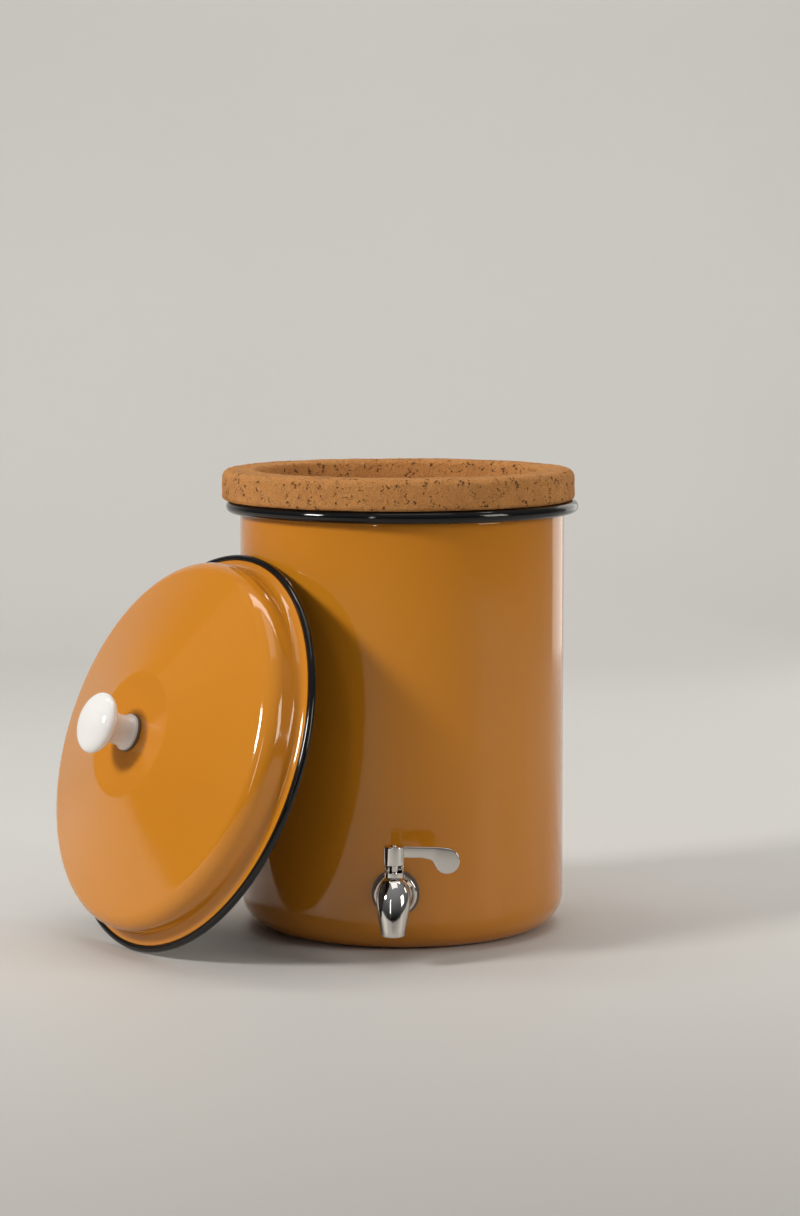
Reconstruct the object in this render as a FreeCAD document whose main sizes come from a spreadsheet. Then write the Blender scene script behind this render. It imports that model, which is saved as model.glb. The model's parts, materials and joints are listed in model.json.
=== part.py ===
# Gravity water filter: an enamelled steel pot with a rolled rim, a clay filter bowl that hangs in
# it, a domed lid leaning against the wall, and a quarter-turn tap near the foot of the pot.
# Millimetres. The origin is the middle of the pot's base, +Z is up, and the tap points to -Y.
import FreeCAD
import Part
import math
import os

import Sketcher

doc = FreeCAD.newDocument("water_filter")
sheet = doc.addObject("Spreadsheet::Sheet", "Sizes")

# Every driving size, in millimetres or degrees.
SIZES = {
    # pot
    "pot_radius": 130.0,
    "pot_rim_height": 338.0,
    "pot_wall": 1.6,
    "pot_corner": 27.0,
    "pot_bead_throw": 11.3,
    "pot_bead_height": 9.6,
    "pot_bead_rise": 5.8,
    # clay filter bowl
    "clay_rim_overhang": 11.2,
    "clay_rim_depth": 24.4,
    "clay_mouth_inset": 16.0,
    "clay_round": 5.5,
    "clay_wall": 18.0,
    "clay_shoulder_inset": 6.0,
    "clay_foot_inset": 25.0,
    "clay_reach": 178.0,
    "clay_foot_round": 24.0,
    "clay_shift": 3.0,
    "seat_gap": 0.3,
    # lid, in its own frame: heights are above the middle of its rolled rim
    "lid_rim_radius": 157.6,
    "lid_bead": 3.0,
    "lid_wall": 1.4,
    "lid_flange_inset": 2.2,
    "lid_flange_height": 2.4,
    "lid_groove": 7.8,
    "lid_skirt_inset": 9.2,
    "lid_skirt_height": 19.3,
    "lid_shoulder": 14.0,
    "lid_slope": 15.4,
    "lid_pad_radius": 50.0,
    "lean_angle": 19.5,
    "lean_facing": 216.3,
    "lean_side": 209.4,
    "lean_gap": 0.3,
    # knob
    "knob_radius": 24.0,
    "knob_length": 38.6,
    "knob_edge": 6.2,
    "knob_edge_height": 28.8,
    "knob_foot_radius": 14.4,
    "knob_foot_depth": 2.6,
    "knob_neck_radius": 11.8,
    "knob_neck_height": 14.0,
    "knob_gasket_radius": 14.9,
    "knob_gasket_depth": 1.5,
    "knob_washer_radius": 8.0,
    "knob_washer_depth": 1.2,
    "knob_screw_radius": 2.5,
    "knob_screw_head_radius": 4.6,
    "knob_screw_head_depth": 3.0,
    "knob_screw_reach": 15.4,
    "knob_insert_radius": 4.4,
    "knob_insert_depth": 12.0,
    "small_gap": 0.05,
    # tap fixing through the pot's wall
    "tap_height": 48.0,
    "shank_radius": 8.0,
    "shank_inside": 24.0,
    "gasket_radius": 18.4,
    "gasket_depth": 3.4,
    "flange_radius": 16.8,
    "flange_depth": 4.6,
    "flange_rim": 3.0,
    "flange_dish": 1.4,
    "inner_gasket_radius": 15.5,
    "inner_gasket_depth": 3.2,
    "washer_radius": 14.2,
    "washer_depth": 1.4,
    "nut_flats": 24.0,
    "nut_depth": 7.0,
    # tap casting
    "valve_reach": 35.0,
    "barrel_radius": 9.2,
    "housing_radius": 10.0,
    "housing_foot": 37.0,
    "housing_top": 61.0,
    "neck_radius": 7.35,
    "neck_top": 76.0,
    "water_bore": 3.8,
    "outlet_bore": 4.6,
    "outlet_throw": 15.8,
    "nozzle_foot": 24.6,
    "nozzle_depth": 3.4,
    "nozzle_radius": 9.0,
    "nozzle_spigot": 7.2,
    "nozzle_spigot_depth": 5.0,
    # valve
    "plug_radius": 5.6,
    "plug_foot": 40.6,
    "plug_top": 57.4,
    "turning_gap": 0.06,
    "chamber_foot": 40.0,
    "seat_radius": 4.9,
    "seat_reach": 8.0,
    "gland_foot": 57.7,
    "gland_top": 70.6,
    "stem_radius": 3.4,
    "stem_top": 86.4,
    "ring_section": 0.55,
    "ring_height": 61.0,
    "ring_pitch": 5.0,
    "stop_pin_radius": 0.9,
    "stop_pin_reach": 7.0,
    "stop_pin_height": 73.4,
    "stop_pin_angle": 338.0,
    "stop_slot_foot": 71.0,
    "stop_slot_slack": 10.5,
    "lever_turn": 90.0,
    # lever
    "hub_radius": 7.95,
    "hub_foot": 76.5,
    "hub_top": 91.0,
    "hub_round": 0.9,
    "arm_thickness": 3.6,
    "arm_foot": 82.2,
    "arm_straight": 29.0,
    "arm_shoulder": 33.0,
    "paddle_reach": 40.4,
    "paddle_height": 79.8,
    "paddle_radius": 9.8,
    "paddle_notch": 42.0,
    "lever_screw_head_radius": 2.7,
    "lever_screw_head_depth": 1.5,
    "lever_screw_radius": 1.5,
    "lever_screw_length": 7.0,
}

# The drop-shaped front of the tap: distance in front of the valve's axis, height and radius of
# each of its level sections, from the shoulder down to the mouth.
DROP = [
    (1.8, 67.2, 5.2),
    (3.3, 65.2, 8.4),
    (5.4, 60.6, 11.2),
    (7.8, 54.5, 12.7),
    (10.0, 47.5, 12.7),
    (12.2, 40.2, 11.8),
    (14.4, 33.0, 10.4),
    (15.8, 28.0, 9.4),
]


class Size:
    """A size that carries its number and the sheet expression that it comes from."""

    def __init__(self, value, text):
        self.value = value
        self.text = text

    def _with(self, other, sign, value):
        text = other.text if isinstance(other, Size) else repr(float(other))
        return Size(value, "(" + self.text + " " + sign + " " + text + ")")

    def __add__(self, other):
        return self._with(other, "+", self.value + number(other))

    def __sub__(self, other):
        return self._with(other, "-", self.value - number(other))

    def __mul__(self, other):
        return self._with(other, "*", self.value * number(other))

    def __truediv__(self, other):
        return self._with(other, "/", self.value / number(other))

    def __neg__(self):
        return Size(-self.value, "(0 - " + self.text + ")")


def number(size):
    return size.value if isinstance(size, Size) else float(size)


def sine(angle):
    return Size(math.sin(math.radians(angle.value)), "sin(" + angle.text + " * 1deg)")


def cosine(angle):
    return Size(math.cos(math.radians(angle.value)), "cos(" + angle.text + " * 1deg)")


class Sizes:
    """The sheet's cells, one Size for each alias."""

    def __init__(self, values):
        for row, (alias, value) in enumerate(values.items(), start=1):
            sheet.set("A" + str(row), alias.replace("_", " "))
            sheet.set("B" + str(row), str(value))
            sheet.setAlias("B" + str(row), alias)
            setattr(self, alias, Size(value, "Sizes." + alias))


s = Sizes(SIZES)
doc.recompute()
ZERO = Size(0.0, "0")


def bind(thing, **sizes):
    """Binds properties of an object to sheet expressions."""
    for name, size in sizes.items():
        if isinstance(size, Size):
            thing.setExpression(name, size.text)
        else:
            setattr(thing, name, size)
    return thing


def place(thing, x=ZERO, y=ZERO, z=ZERO):
    """Binds an object's position to sheet expressions."""
    for axis, size in (("x", x), ("y", y), ("z", z)):
        thing.setExpression("Placement.Base." + axis, size.text)
    return thing


def primitive(kind, label, x=ZERO, y=ZERO, z=ZERO, **sizes):
    return place(bind(doc.addObject("Part::" + kind, label), **sizes), x, y, z)


def rod(label, radius, length, x=ZERO, y=ZERO, z=ZERO):
    """A cylinder that stands on its foot."""
    return primitive("Cylinder", label, x, y, z, Radius=radius, Height=length)


def lying_rod(label, radius, start, end, z):
    """A cylinder along the tap's axis, from one distance out of the pot's centre to another."""
    shape = rod(label, radius, end - start, ZERO, -start, z)
    shape.Placement.Rotation = FreeCAD.Rotation(FreeCAD.Vector(1, 0, 0), 90)
    return shape


def cut(label, base, *tools):
    """The base less each tool in turn."""
    for count, tool in enumerate(tools):
        result = doc.addObject("Part::Cut", label if count == len(tools) - 1 else label + "_stage")
        result.Base = base
        result.Tool = tool
        base = result
    return base


def fuse(label, *shapes):
    result = doc.addObject("Part::MultiFuse", label)
    result.Shapes = list(shapes)
    result.Refine = True
    return result


def common(label, first, second):
    result = doc.addObject("Part::MultiCommon", label)
    result.Shapes = [first, second]
    return result


def origin_plane(body, role):
    return next(f for f in body.Origin.OriginFeatures if f.Role == role)


def arc_centre(start, end, radius, side):
    """The centre of an arc of that radius; side 1 has it to the left of start to end."""
    middle = (start + end) * 0.5
    chord = end - start
    rise = math.sqrt(max(radius * radius - chord.Length * chord.Length / 4, 0.0))
    normal = FreeCAD.Vector(-chord.y, chord.x, 0).normalize()
    return middle + normal * rise * side


def outline(body, label, role, corners, arcs):
    """A closed sketch. Each corner's two distances are bound to the sheet, and so is each arc's
    radius. arcs maps the number of the corner that an arc leaves to (radius, side)."""
    sketch = body.newObject("Sketcher::SketchObject", label)
    sketch.AttachmentSupport = [(origin_plane(body, role), "")]
    sketch.MapMode = "FlatFace"
    points = [FreeCAD.Vector(number(x), number(y), 0) for x, y in corners]
    for i, start in enumerate(points):
        end = points[(i + 1) % len(points)]
        if i not in arcs:
            sketch.addGeometry(Part.LineSegment(start, end), False)
            continue
        radius, side = arcs[i]
        centre = arc_centre(start, end, number(radius), side)
        turn = [math.atan2(p.y - centre.y, p.x - centre.x) for p in (start, end)]
        if side < 0:
            turn.reverse()
        circle = Part.Circle(centre, FreeCAD.Vector(0, 0, 1), number(radius))
        sketch.addGeometry(Part.ArcOfCircle(circle, turn[0], turn[1]), False)
    first = {i: 2 if i in arcs and arcs[i][1] < 0 else 1 for i in range(len(points))}
    for i in range(len(points)):
        before = (i - 1) % len(points)
        ends = (before, 3 - first[before], i, first[i])
        sketch.addConstraint(Sketcher.Constraint("Coincident", *ends))
    for i, (x, y) in enumerate(corners):
        for kind, size in (("DistanceX", x), ("DistanceY", y)):
            held = Sketcher.Constraint(kind, -1, 1, i, first[i], number(size))
            where = sketch.addConstraint(held)
            if isinstance(size, Size):
                sketch.setExpression("Constraints[" + str(where) + "]", size.text)
    for i, (radius, side) in arcs.items():
        where = sketch.addConstraint(Sketcher.Constraint("Radius", i, number(radius)))
        if isinstance(radius, Size):
            sketch.setExpression("Constraints[" + str(where) + "]", radius.text)
    return sketch


def turned_body(label, corners, arcs=None):
    """A body turned about Z from a profile of (radius, height) corners."""
    body = doc.addObject("PartDesign::Body", label)
    sketch = outline(body, label + "_profile", "XZ_Plane", corners, arcs or {})
    turn = body.newObject("PartDesign::Revolution", label + "_turned")
    turn.Profile = sketch
    turn.ReferenceAxis = (sketch, ["V_Axis"])
    turn.Angle = 360
    return body


def turned(label, corners, arcs=None, x=ZERO, y=ZERO, z=ZERO):
    """A turned body stood on the given point."""
    return place(turned_body(label, corners, arcs), x, y, z)


def face_outward(thing):
    """Turns a part that was made along Z so that it points out along the tap's axis."""
    thing.Placement.Rotation = FreeCAD.Rotation(FreeCAD.Vector(1, 0, 0), 90)
    return thing


def lying_ring(label, radius, bore, start, end):
    """A plain ring on the tap's axis between two distances from the pot's centre."""
    outer = lying_rod(label + "_outer", radius, start, end, s.tap_height)
    inner = lying_rod(label + "_bore", bore, start - 1.0, end + 1.0, s.tap_height)
    return outer, inner


# Pot: a drawn sheet with a round foot corner, open at the top, and a hole for the tap.
inner_wall = s.pot_radius - s.pot_wall
pot_body = turned(
    "pot_sheet",
    [
        (ZERO, ZERO),
        (s.pot_radius - s.pot_corner, ZERO),
        (s.pot_radius, s.pot_corner),
        (s.pot_radius, s.pot_rim_height),
        (inner_wall, s.pot_rim_height),
        (inner_wall, s.pot_corner),
        (s.pot_radius - s.pot_corner, s.pot_wall),
        (ZERO, s.pot_wall),
    ],
    {1: (s.pot_corner, 1), 5: (s.pot_corner - s.pot_wall, -1)},
)
shank_clear = s.shank_radius + s.small_gap
shank_hole = lying_rod("pot_tap_hole", shank_clear, s.pot_radius - 20.0, s.pot_radius + 10.0, s.tap_height)
pot_shell = cut("pot_shell", pot_body, shank_hole)

# Rolled rim: the curl's end stops short of the wall, so the roll is open underneath.
curl_outer = s.pot_bead_height / 2
curl_inner = curl_outer - s.pot_wall
curl_centre = s.pot_radius + s.pot_bead_throw - curl_outer
bead_top = s.pot_rim_height + s.pot_bead_rise
curl_foot = bead_top - s.pot_bead_height
turn_in = s.pot_wall + 2.2
pot_rim_bead = turned(
    "pot_rim_bead",
    [
        (inner_wall, s.pot_rim_height),
        (s.pot_radius, s.pot_rim_height),
        (s.pot_radius, bead_top - turn_in),
        (inner_wall + turn_in, bead_top - s.pot_wall),
        (curl_centre, bead_top - s.pot_wall),
        (curl_centre + curl_inner, bead_top - curl_outer),
        (curl_centre, curl_foot + s.pot_wall),
        (s.pot_radius + 1.0, curl_foot + s.pot_wall),
        (s.pot_radius + 1.0, curl_foot),
        (curl_centre, curl_foot),
        (curl_centre + curl_outer, bead_top - curl_outer),
        (curl_centre, bead_top),
        (inner_wall + turn_in, bead_top),
        (inner_wall, bead_top - turn_in),
    ],
    {
        2: (turn_in - s.pot_wall, -1),
        4: (curl_inner, -1),
        5: (curl_inner, -1),
        9: (curl_outer, 1),
        10: (curl_outer, 1),
        12: (turn_in, 1),
    },
)

# Clay filter bowl: a thick rim that stands on the rolled rim, and a bowl that hangs in the pot.
clay_rim = s.pot_radius + s.clay_rim_overhang
clay_mouth = s.pot_radius - s.clay_mouth_inset
clay_shoulder = s.pot_radius - s.clay_shoulder_inset
clay_foot_radius = s.pot_radius - s.clay_foot_inset
clay_foot_height = s.pot_rim_height - s.clay_reach
rim_foot = bead_top + s.seat_gap
clay_top = rim_foot + s.clay_rim_depth
clay_floor = clay_foot_height + s.clay_wall
clay_inner_round = s.clay_foot_round - 6.0
clay_inner_foot = clay_foot_radius - s.clay_wall
filter_bowl = turned(
    "filter_bowl",
    [
        (ZERO, clay_foot_height),
        (clay_foot_radius - s.clay_foot_round, clay_foot_height),
        (clay_foot_radius, clay_foot_height + s.clay_foot_round),
        (clay_shoulder, rim_foot),
        (clay_rim - s.clay_round, rim_foot),
        (clay_rim, rim_foot + s.clay_round),
        (clay_rim, clay_top - s.clay_round),
        (clay_rim - s.clay_round, clay_top),
        (clay_mouth + s.clay_round, clay_top),
        (clay_mouth, clay_top - s.clay_round),
        (clay_inner_foot, clay_floor + clay_inner_round),
        (clay_inner_foot - clay_inner_round, clay_floor),
        (ZERO, clay_floor),
    ],
    {
        1: (s.clay_foot_round, 1),
        4: (s.clay_round, 1),
        6: (s.clay_round, 1),
        8: (s.clay_round, 1),
        10: (clay_inner_round, -1),
    },
    x=-s.clay_shift,
)

# Lid, made about Z with its open side down, then leaned against the wall of the pot.
lid_flange = s.lid_rim_radius - s.lid_flange_inset
lid_skirt = s.lid_rim_radius - s.lid_skirt_inset
shoulder_centre = lid_skirt - s.lid_shoulder
cone_radius = shoulder_centre + s.lid_shoulder * sine(s.lid_slope)
cone_height = s.lid_skirt_height + s.lid_shoulder * cosine(s.lid_slope)
pad_height = cone_height + (cone_radius - s.lid_pad_radius) * sine(s.lid_slope) / cosine(s.lid_slope)
inner_shoulder = s.lid_shoulder - s.lid_wall
groove_height = s.lid_flange_height + s.lid_groove
groove_radius = lid_flange - s.lid_groove
pad_under = pad_height - s.lid_wall
screw_clear = s.knob_screw_radius + s.small_gap
lid_shell = turned(
    "lid_shell",
    [
        (lid_flange, s.lid_flange_height - s.lid_wall),
        (lid_flange, s.lid_flange_height),
        (groove_radius, groove_height),
        (lid_skirt, s.lid_skirt_height),
        (cone_radius, cone_height),
        (s.lid_pad_radius, pad_height),
        (screw_clear, pad_height),
        (screw_clear, pad_under),
        (s.lid_pad_radius - 0.2, pad_under),
        (
            shoulder_centre + inner_shoulder * sine(s.lid_slope),
            s.lid_skirt_height + inner_shoulder * cosine(s.lid_slope),
        ),
        (lid_skirt - s.lid_wall, s.lid_skirt_height),
        (groove_radius - s.lid_wall, groove_height),
    ],
    {
        1: (s.lid_groove, -1),
        3: (s.lid_shoulder, 1),
        9: (inner_shoulder, -1),
        11: (s.lid_groove + s.lid_wall, 1),
    },
)
lid_rim_bead = turned(
    "lid_rim_bead",
    [
        (lid_flange, s.lid_flange_height - s.lid_wall),
        (s.lid_rim_radius - s.lid_bead, ZERO),
        (s.lid_rim_radius, -s.lid_bead),
        (s.lid_rim_radius + s.lid_bead, ZERO),
        (s.lid_rim_radius, s.lid_bead),
        (lid_flange, s.lid_flange_height),
    ],
    {1: (s.lid_bead, 1), 2: (s.lid_bead, 1), 3: (s.lid_bead, 1)},
)

# Knob and what holds it through the lid.
knob_foot = pad_height + s.knob_gasket_depth
knob_bore_top = s.knob_insert_depth + 3.0
knob_brim = s.knob_radius - s.knob_edge
crown_drop = s.knob_length - s.knob_edge_height - s.knob_edge
knob_crown = (knob_brim * knob_brim + crown_drop * crown_drop) / crown_drop / 2
lid_knob = turned(
    "lid_knob",
    [
        (s.knob_insert_radius, ZERO),
        (s.knob_foot_radius, ZERO),
        (s.knob_foot_radius, s.knob_foot_depth),
        (s.knob_neck_radius, s.knob_neck_height),
        (knob_brim, s.knob_edge_height - s.knob_edge),
        (s.knob_radius, s.knob_edge_height),
        (knob_brim, s.knob_edge_height + s.knob_edge),
        (ZERO, s.knob_length),
        (ZERO, knob_bore_top),
        (s.knob_insert_radius, knob_bore_top),
    ],
    {
        2: (Size(24.0, "24"), -1),
        3: (Size(12.0, "12"), -1),
        4: (s.knob_edge, 1),
        5: (s.knob_edge, 1),
        6: (knob_crown, 1),
    },
)
knob_gasket = turned(
    "knob_gasket",
    [
        (screw_clear, ZERO),
        (s.knob_gasket_radius, ZERO),
        (s.knob_gasket_radius, s.knob_gasket_depth),
        (screw_clear, s.knob_gasket_depth),
    ],
)
knob_insert = turned(
    "knob_insert",
    [
        (screw_clear, ZERO),
        (s.knob_insert_radius - s.small_gap, ZERO),
        (s.knob_insert_radius - s.small_gap, s.knob_insert_depth),
        (screw_clear, s.knob_insert_depth),
    ],
)
knob_washer = turned(
    "knob_washer",
    [
        (screw_clear, ZERO),
        (s.knob_washer_radius, ZERO),
        (s.knob_washer_radius, s.knob_washer_depth),
        (screw_clear, s.knob_washer_depth),
    ],
)
head_round = s.knob_screw_head_depth / 2
knob_screw_turned = turned(
    "knob_screw_turned",
    [
        (ZERO, -s.knob_screw_head_depth),
        (s.knob_screw_head_radius - head_round, -s.knob_screw_head_depth),
        (s.knob_screw_head_radius, -head_round),
        (s.knob_screw_head_radius, ZERO),
        (s.knob_screw_radius, ZERO),
        (s.knob_screw_radius, s.knob_screw_reach),
        (ZERO, s.knob_screw_reach),
    ],
    {1: (head_round, 1)},
)
knob_slot = primitive(
    "Box",
    "knob_screw_slot",
    Size(-10.0, "-10"),
    Size(-0.6, "-0.6"),
    -s.knob_screw_head_depth - 1.0,
    Length=20,
    Width=1.2,
    Height=2.2,
)
knob_screw = cut("knob_screw", knob_screw_turned, knob_slot)


def lean_distance():
    """How far the lid's centre stands from the pot's axis, so that its rim just misses the wall."""
    lean = math.radians(s.lean_angle.value)
    facing = math.radians(s.lean_facing.value)
    side = math.radians(s.lean_side.value)
    across = (-math.sin(facing), math.cos(facing))
    up = (-math.sin(lean) * math.cos(facing), -math.sin(lean) * math.sin(facing))
    rim = s.lid_rim_radius.value
    wanted = s.pot_radius.value + s.lid_bead.value + s.lean_gap.value
    near, far = wanted, 2 * wanted
    for _ in range(60):
        middle = (near + far) / 2
        gap = []
        for step in range(720):
            turn = math.radians(step / 2)
            x = middle * math.cos(side) + rim * (math.cos(turn) * across[0] + math.sin(turn) * up[0])
            y = middle * math.sin(side) + rim * (math.cos(turn) * across[1] + math.sin(turn) * up[1])
            gap.append(math.hypot(x, y))
        if min(gap) < wanted:
            near = middle
        else:
            far = middle
    return far


lean_turn = FreeCAD.Rotation(FreeCAD.Vector(0, 0, 1), s.lean_facing.value)
lean_tip = FreeCAD.Rotation(FreeCAD.Vector(0, 1, 0), 90 - s.lean_angle.value)
lean_rotation = lean_turn.multiply(lean_tip)
lid_axis = lean_rotation.multVec(FreeCAD.Vector(0, 0, 1))
lid_out = lean_distance()
lid_centre = FreeCAD.Vector(
    lid_out * math.cos(math.radians(s.lean_side.value)),
    lid_out * math.sin(math.radians(s.lean_side.value)),
    s.lid_rim_radius.value * math.cos(math.radians(s.lean_angle.value))
    + s.lid_bead.value
    + s.lean_gap.value,
)


def lean(thing, height=ZERO):
    """Carries a part of the lid from its own frame to where the lid leans."""
    where = lid_centre + lid_axis * number(height)
    place(thing, *[Size(part, repr(part)) for part in where])
    thing.Placement = FreeCAD.Placement(where, lean_rotation)
    return thing


lean(lid_shell)
lean(lid_rim_bead)
lean(knob_gasket, pad_height)
lean(lid_knob, knob_foot)
lean(knob_insert, knob_foot)
lean(knob_washer, pad_under - s.knob_washer_depth)
lean(knob_screw, pad_under - s.knob_washer_depth)

# Tap fixing: everything on the shank, from the outside in.
wall_outside = s.pot_radius
flange_back = wall_outside + s.gasket_depth
flange_front = flange_back + s.flange_depth
outer_ring, outer_bore = lying_ring(
    "gasket_outer", s.gasket_radius, shank_clear, wall_outside - 5.0, flange_back
)
pot_outside = rod("gasket_wall_outside", s.pot_radius, s.tap_height * 3)
tap_gasket_outer = cut("tap_gasket_outer", outer_ring, outer_bore, pot_outside)

inner_ring, inner_bore = lying_ring(
    "gasket_inner",
    s.inner_gasket_radius,
    shank_clear,
    inner_wall - s.inner_gasket_depth,
    wall_outside + 5.0,
)
pot_inside = rod("gasket_wall_inside", inner_wall, s.tap_height * 3)
tap_gasket_inner = cut(
    "tap_gasket_inner", common("gasket_inner_fitted", inner_ring, pot_inside), inner_bore
)
washer_back = inner_wall - s.inner_gasket_depth
washer_ring, washer_bore = lying_ring(
    "washer", s.washer_radius, shank_clear, washer_back - s.washer_depth, washer_back
)
tap_washer = cut("tap_washer", washer_ring, washer_bore)
nut_back = washer_back - s.washer_depth
nut_block = primitive(
    "Prism",
    "nut_block",
    ZERO,
    s.nut_depth - nut_back,
    s.tap_height,
    Polygon=6,
    Circumradius=s.nut_flats / cosine(Size(30.0, "30")) / 2,
    Height=s.nut_depth,
)
face_outward(nut_block)
nut_bore = lying_rod("nut_bore", shank_clear, nut_back - s.nut_depth - 1.0, nut_back + 1.0, s.tap_height)
tap_lock_nut = cut("tap_lock_nut", nut_block, nut_bore)

flange_turned = turned(
    "tap_flange",
    [
        (shank_clear, ZERO),
        (s.flange_radius, ZERO),
        (s.flange_radius, s.flange_depth - s.flange_rim / 2),
        (s.flange_radius - s.flange_rim / 2, s.flange_depth),
        (s.flange_radius - s.flange_rim, s.flange_depth - s.flange_rim / 2),
        (s.flange_radius - s.flange_rim, s.flange_depth - s.flange_dish - s.flange_rim / 2),
        (shank_clear, s.flange_depth - s.flange_dish - s.flange_rim / 2),
    ],
    {2: (s.flange_rim / 2, 1), 3: (s.flange_rim / 2, 1)},
    y=-flange_back,
    z=s.tap_height,
)
tap_flange = face_outward(flange_turned)

# Tap casting: shank, barrel, valve housing, neck and the drop-shaped front.
valve_line = wall_outside + s.valve_reach
barrel_back = flange_back + s.flange_depth - s.flange_dish - s.flange_rim / 2
shank_end = inner_wall - s.shank_inside
shank = lying_rod("shank", s.shank_radius, shank_end, valve_line, s.tap_height)
barrel = lying_rod("barrel", s.barrel_radius, barrel_back, valve_line, s.tap_height)
housing_depth = s.housing_top - s.housing_foot
housing = rod("housing", s.housing_radius, housing_depth, ZERO, -valve_line, s.housing_foot)
neck = rod("neck", s.neck_radius, s.neck_top - s.tap_height, ZERO, -valve_line, s.tap_height)

sections = []
for throw, height, radius in DROP:
    section = doc.addObject("Part::Circle", "drop_section")
    section.Radius = radius
    place(section, ZERO, -(valve_line + throw), Size(height, repr(height)))
    sections.append(section)
drop = doc.addObject("Part::Loft", "drop")
drop.Sections = sections
drop.Solid = True
drop.Ruled = False
casting = fuse("tap_casting", shank, barrel, housing, neck, drop)

outlet_line = valve_line + s.outlet_throw
nozzle_top = s.nozzle_foot + s.nozzle_depth
inlet = lying_rod("inlet", s.water_bore, shank_end - 1.0, outlet_line, s.tap_height)
outlet = rod(
    "outlet",
    s.outlet_bore,
    s.tap_height - s.nozzle_foot + 2.0,
    ZERO,
    -outlet_line,
    s.nozzle_foot,
)
spigot_hole = rod(
    "spigot_hole",
    s.nozzle_spigot + s.small_gap,
    s.nozzle_spigot_depth + 0.4,
    ZERO,
    -outlet_line,
    nozzle_top,
)
chamber_radius = s.plug_radius + s.turning_gap
chamber = rod(
    "chamber", chamber_radius, s.neck_top - s.chamber_foot + 1.0, ZERO, -valve_line, s.chamber_foot
)
seat_bore = lying_rod(
    "seat_bore",
    s.seat_radius + s.small_gap,
    valve_line - s.seat_reach,
    valve_line + s.seat_reach,
    s.tap_height,
)
slot_start = s.stop_pin_angle - s.lever_turn - s.stop_slot_slack
stop_slot = primitive(
    "Cylinder",
    "stop_slot",
    ZERO,
    -valve_line,
    s.stop_slot_foot,
    Radius=s.neck_radius * 2,
    Height=s.neck_top,
    Angle=s.lever_turn + s.stop_slot_slack * 2,
)
stop_slot.Placement.Rotation = FreeCAD.Rotation(FreeCAD.Vector(0, 0, 1), slot_start.value)
tap_body = cut("tap_body", casting, inlet, outlet, spigot_hole, chamber, seat_bore, stop_slot)

tap_nozzle = turned(
    "tap_nozzle",
    [
        (s.outlet_bore, ZERO),
        (s.nozzle_radius - s.nozzle_depth / 2, ZERO),
        (s.nozzle_radius, s.nozzle_depth / 2),
        (s.nozzle_radius, s.nozzle_depth),
        (s.nozzle_spigot, s.nozzle_depth),
        (s.nozzle_spigot, s.nozzle_depth + s.nozzle_spigot_depth),
        (s.outlet_bore, s.nozzle_depth + s.nozzle_spigot_depth),
    ],
    {1: (s.nozzle_depth / 2, 1)},
    y=-outlet_line,
    z=s.nozzle_foot,
)


# Valve: a plug with a cross bore, between two seats, under a gland with two rings.
def valve_seat(label, start, end):
    ring, bore = lying_ring(label, s.seat_radius, s.water_bore, start, end)
    plug_clear = rod(
        label + "_plug", chamber_radius, s.neck_top - s.chamber_foot, ZERO, -valve_line, s.chamber_foot
    )
    return cut(label, ring, bore, plug_clear)


seat_rear = valve_seat("seat_rear", valve_line - s.seat_reach, valve_line)
seat_front = valve_seat("seat_front", valve_line, valve_line + s.seat_reach)

gland_bore = s.stem_radius + s.turning_gap
tap_gland = turned(
    "tap_gland",
    [
        (gland_bore, s.gland_foot),
        (s.plug_radius, s.gland_foot),
        (s.plug_radius, s.gland_top),
        (gland_bore, s.gland_top),
    ],
    y=-valve_line,
)
ring_line = s.stem_radius - s.ring_section
groove_floor = ring_line - s.ring_section - 0.1
groove_half = s.ring_section + 0.1
stem_corners = [
    (ZERO, s.plug_foot),
    (s.plug_radius, s.plug_foot),
    (s.plug_radius, s.plug_top),
    (s.stem_radius, s.plug_top),
]
for ring_place in (s.ring_height, s.ring_height + s.ring_pitch):
    stem_corners += [
        (s.stem_radius, ring_place - groove_half),
        (groove_floor, ring_place - groove_half),
        (groove_floor, ring_place + groove_half),
        (s.stem_radius, ring_place + groove_half),
    ]
stem_corners += [(s.stem_radius, s.stem_top), (ZERO, s.stem_top)]
stem_turned = turned("stem_turned", stem_corners, y=-valve_line)
bore_start = -s.plug_radius * 2
plug_bore = rod("plug_bore", s.water_bore, s.plug_radius * 4, bore_start, -valve_line, s.tap_height)
plug_bore.Placement.Rotation = FreeCAD.Rotation(FreeCAD.Vector(0, 1, 0), 90)
pin_line = s.stop_pin_reach
screw_foot = s.hub_top - s.lever_screw_head_depth - s.lever_screw_length
screw_hole = rod(
    "stem_screw_hole",
    s.lever_screw_radius + s.small_gap,
    s.lever_screw_length + 2.0,
    ZERO,
    -valve_line,
    screw_foot - 0.5,
)


def radial_pin(label, radius):
    """A pin across the stem that comes out at the stop pin's angle."""
    pin = rod(label, radius, pin_line, ZERO, -valve_line, s.stop_pin_height)
    about_z = FreeCAD.Rotation(FreeCAD.Vector(0, 0, 1), s.stop_pin_angle.value)
    about_y = FreeCAD.Rotation(FreeCAD.Vector(0, 1, 0), 90)
    pin.Placement.Rotation = about_z.multiply(about_y)
    return pin


stop_pin = radial_pin("stop_pin", s.stop_pin_radius)
pin_hole = radial_pin("pin_hole", s.stop_pin_radius)
valve_plug = cut("valve_plug", stem_turned, plug_bore, screw_hole, pin_hole)

stem_rings = []
for count in range(2):
    stem_ring = primitive(
        "Torus",
        "stem_ring",
        ZERO,
        -valve_line,
        s.ring_height + s.ring_pitch * count,
        Radius1=ring_line,
        Radius2=s.ring_section,
    )
    stem_rings.append(stem_ring)
stem_o_rings = doc.addObject("Part::Compound", "stem_o_rings")
stem_o_rings.Links = stem_rings

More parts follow.
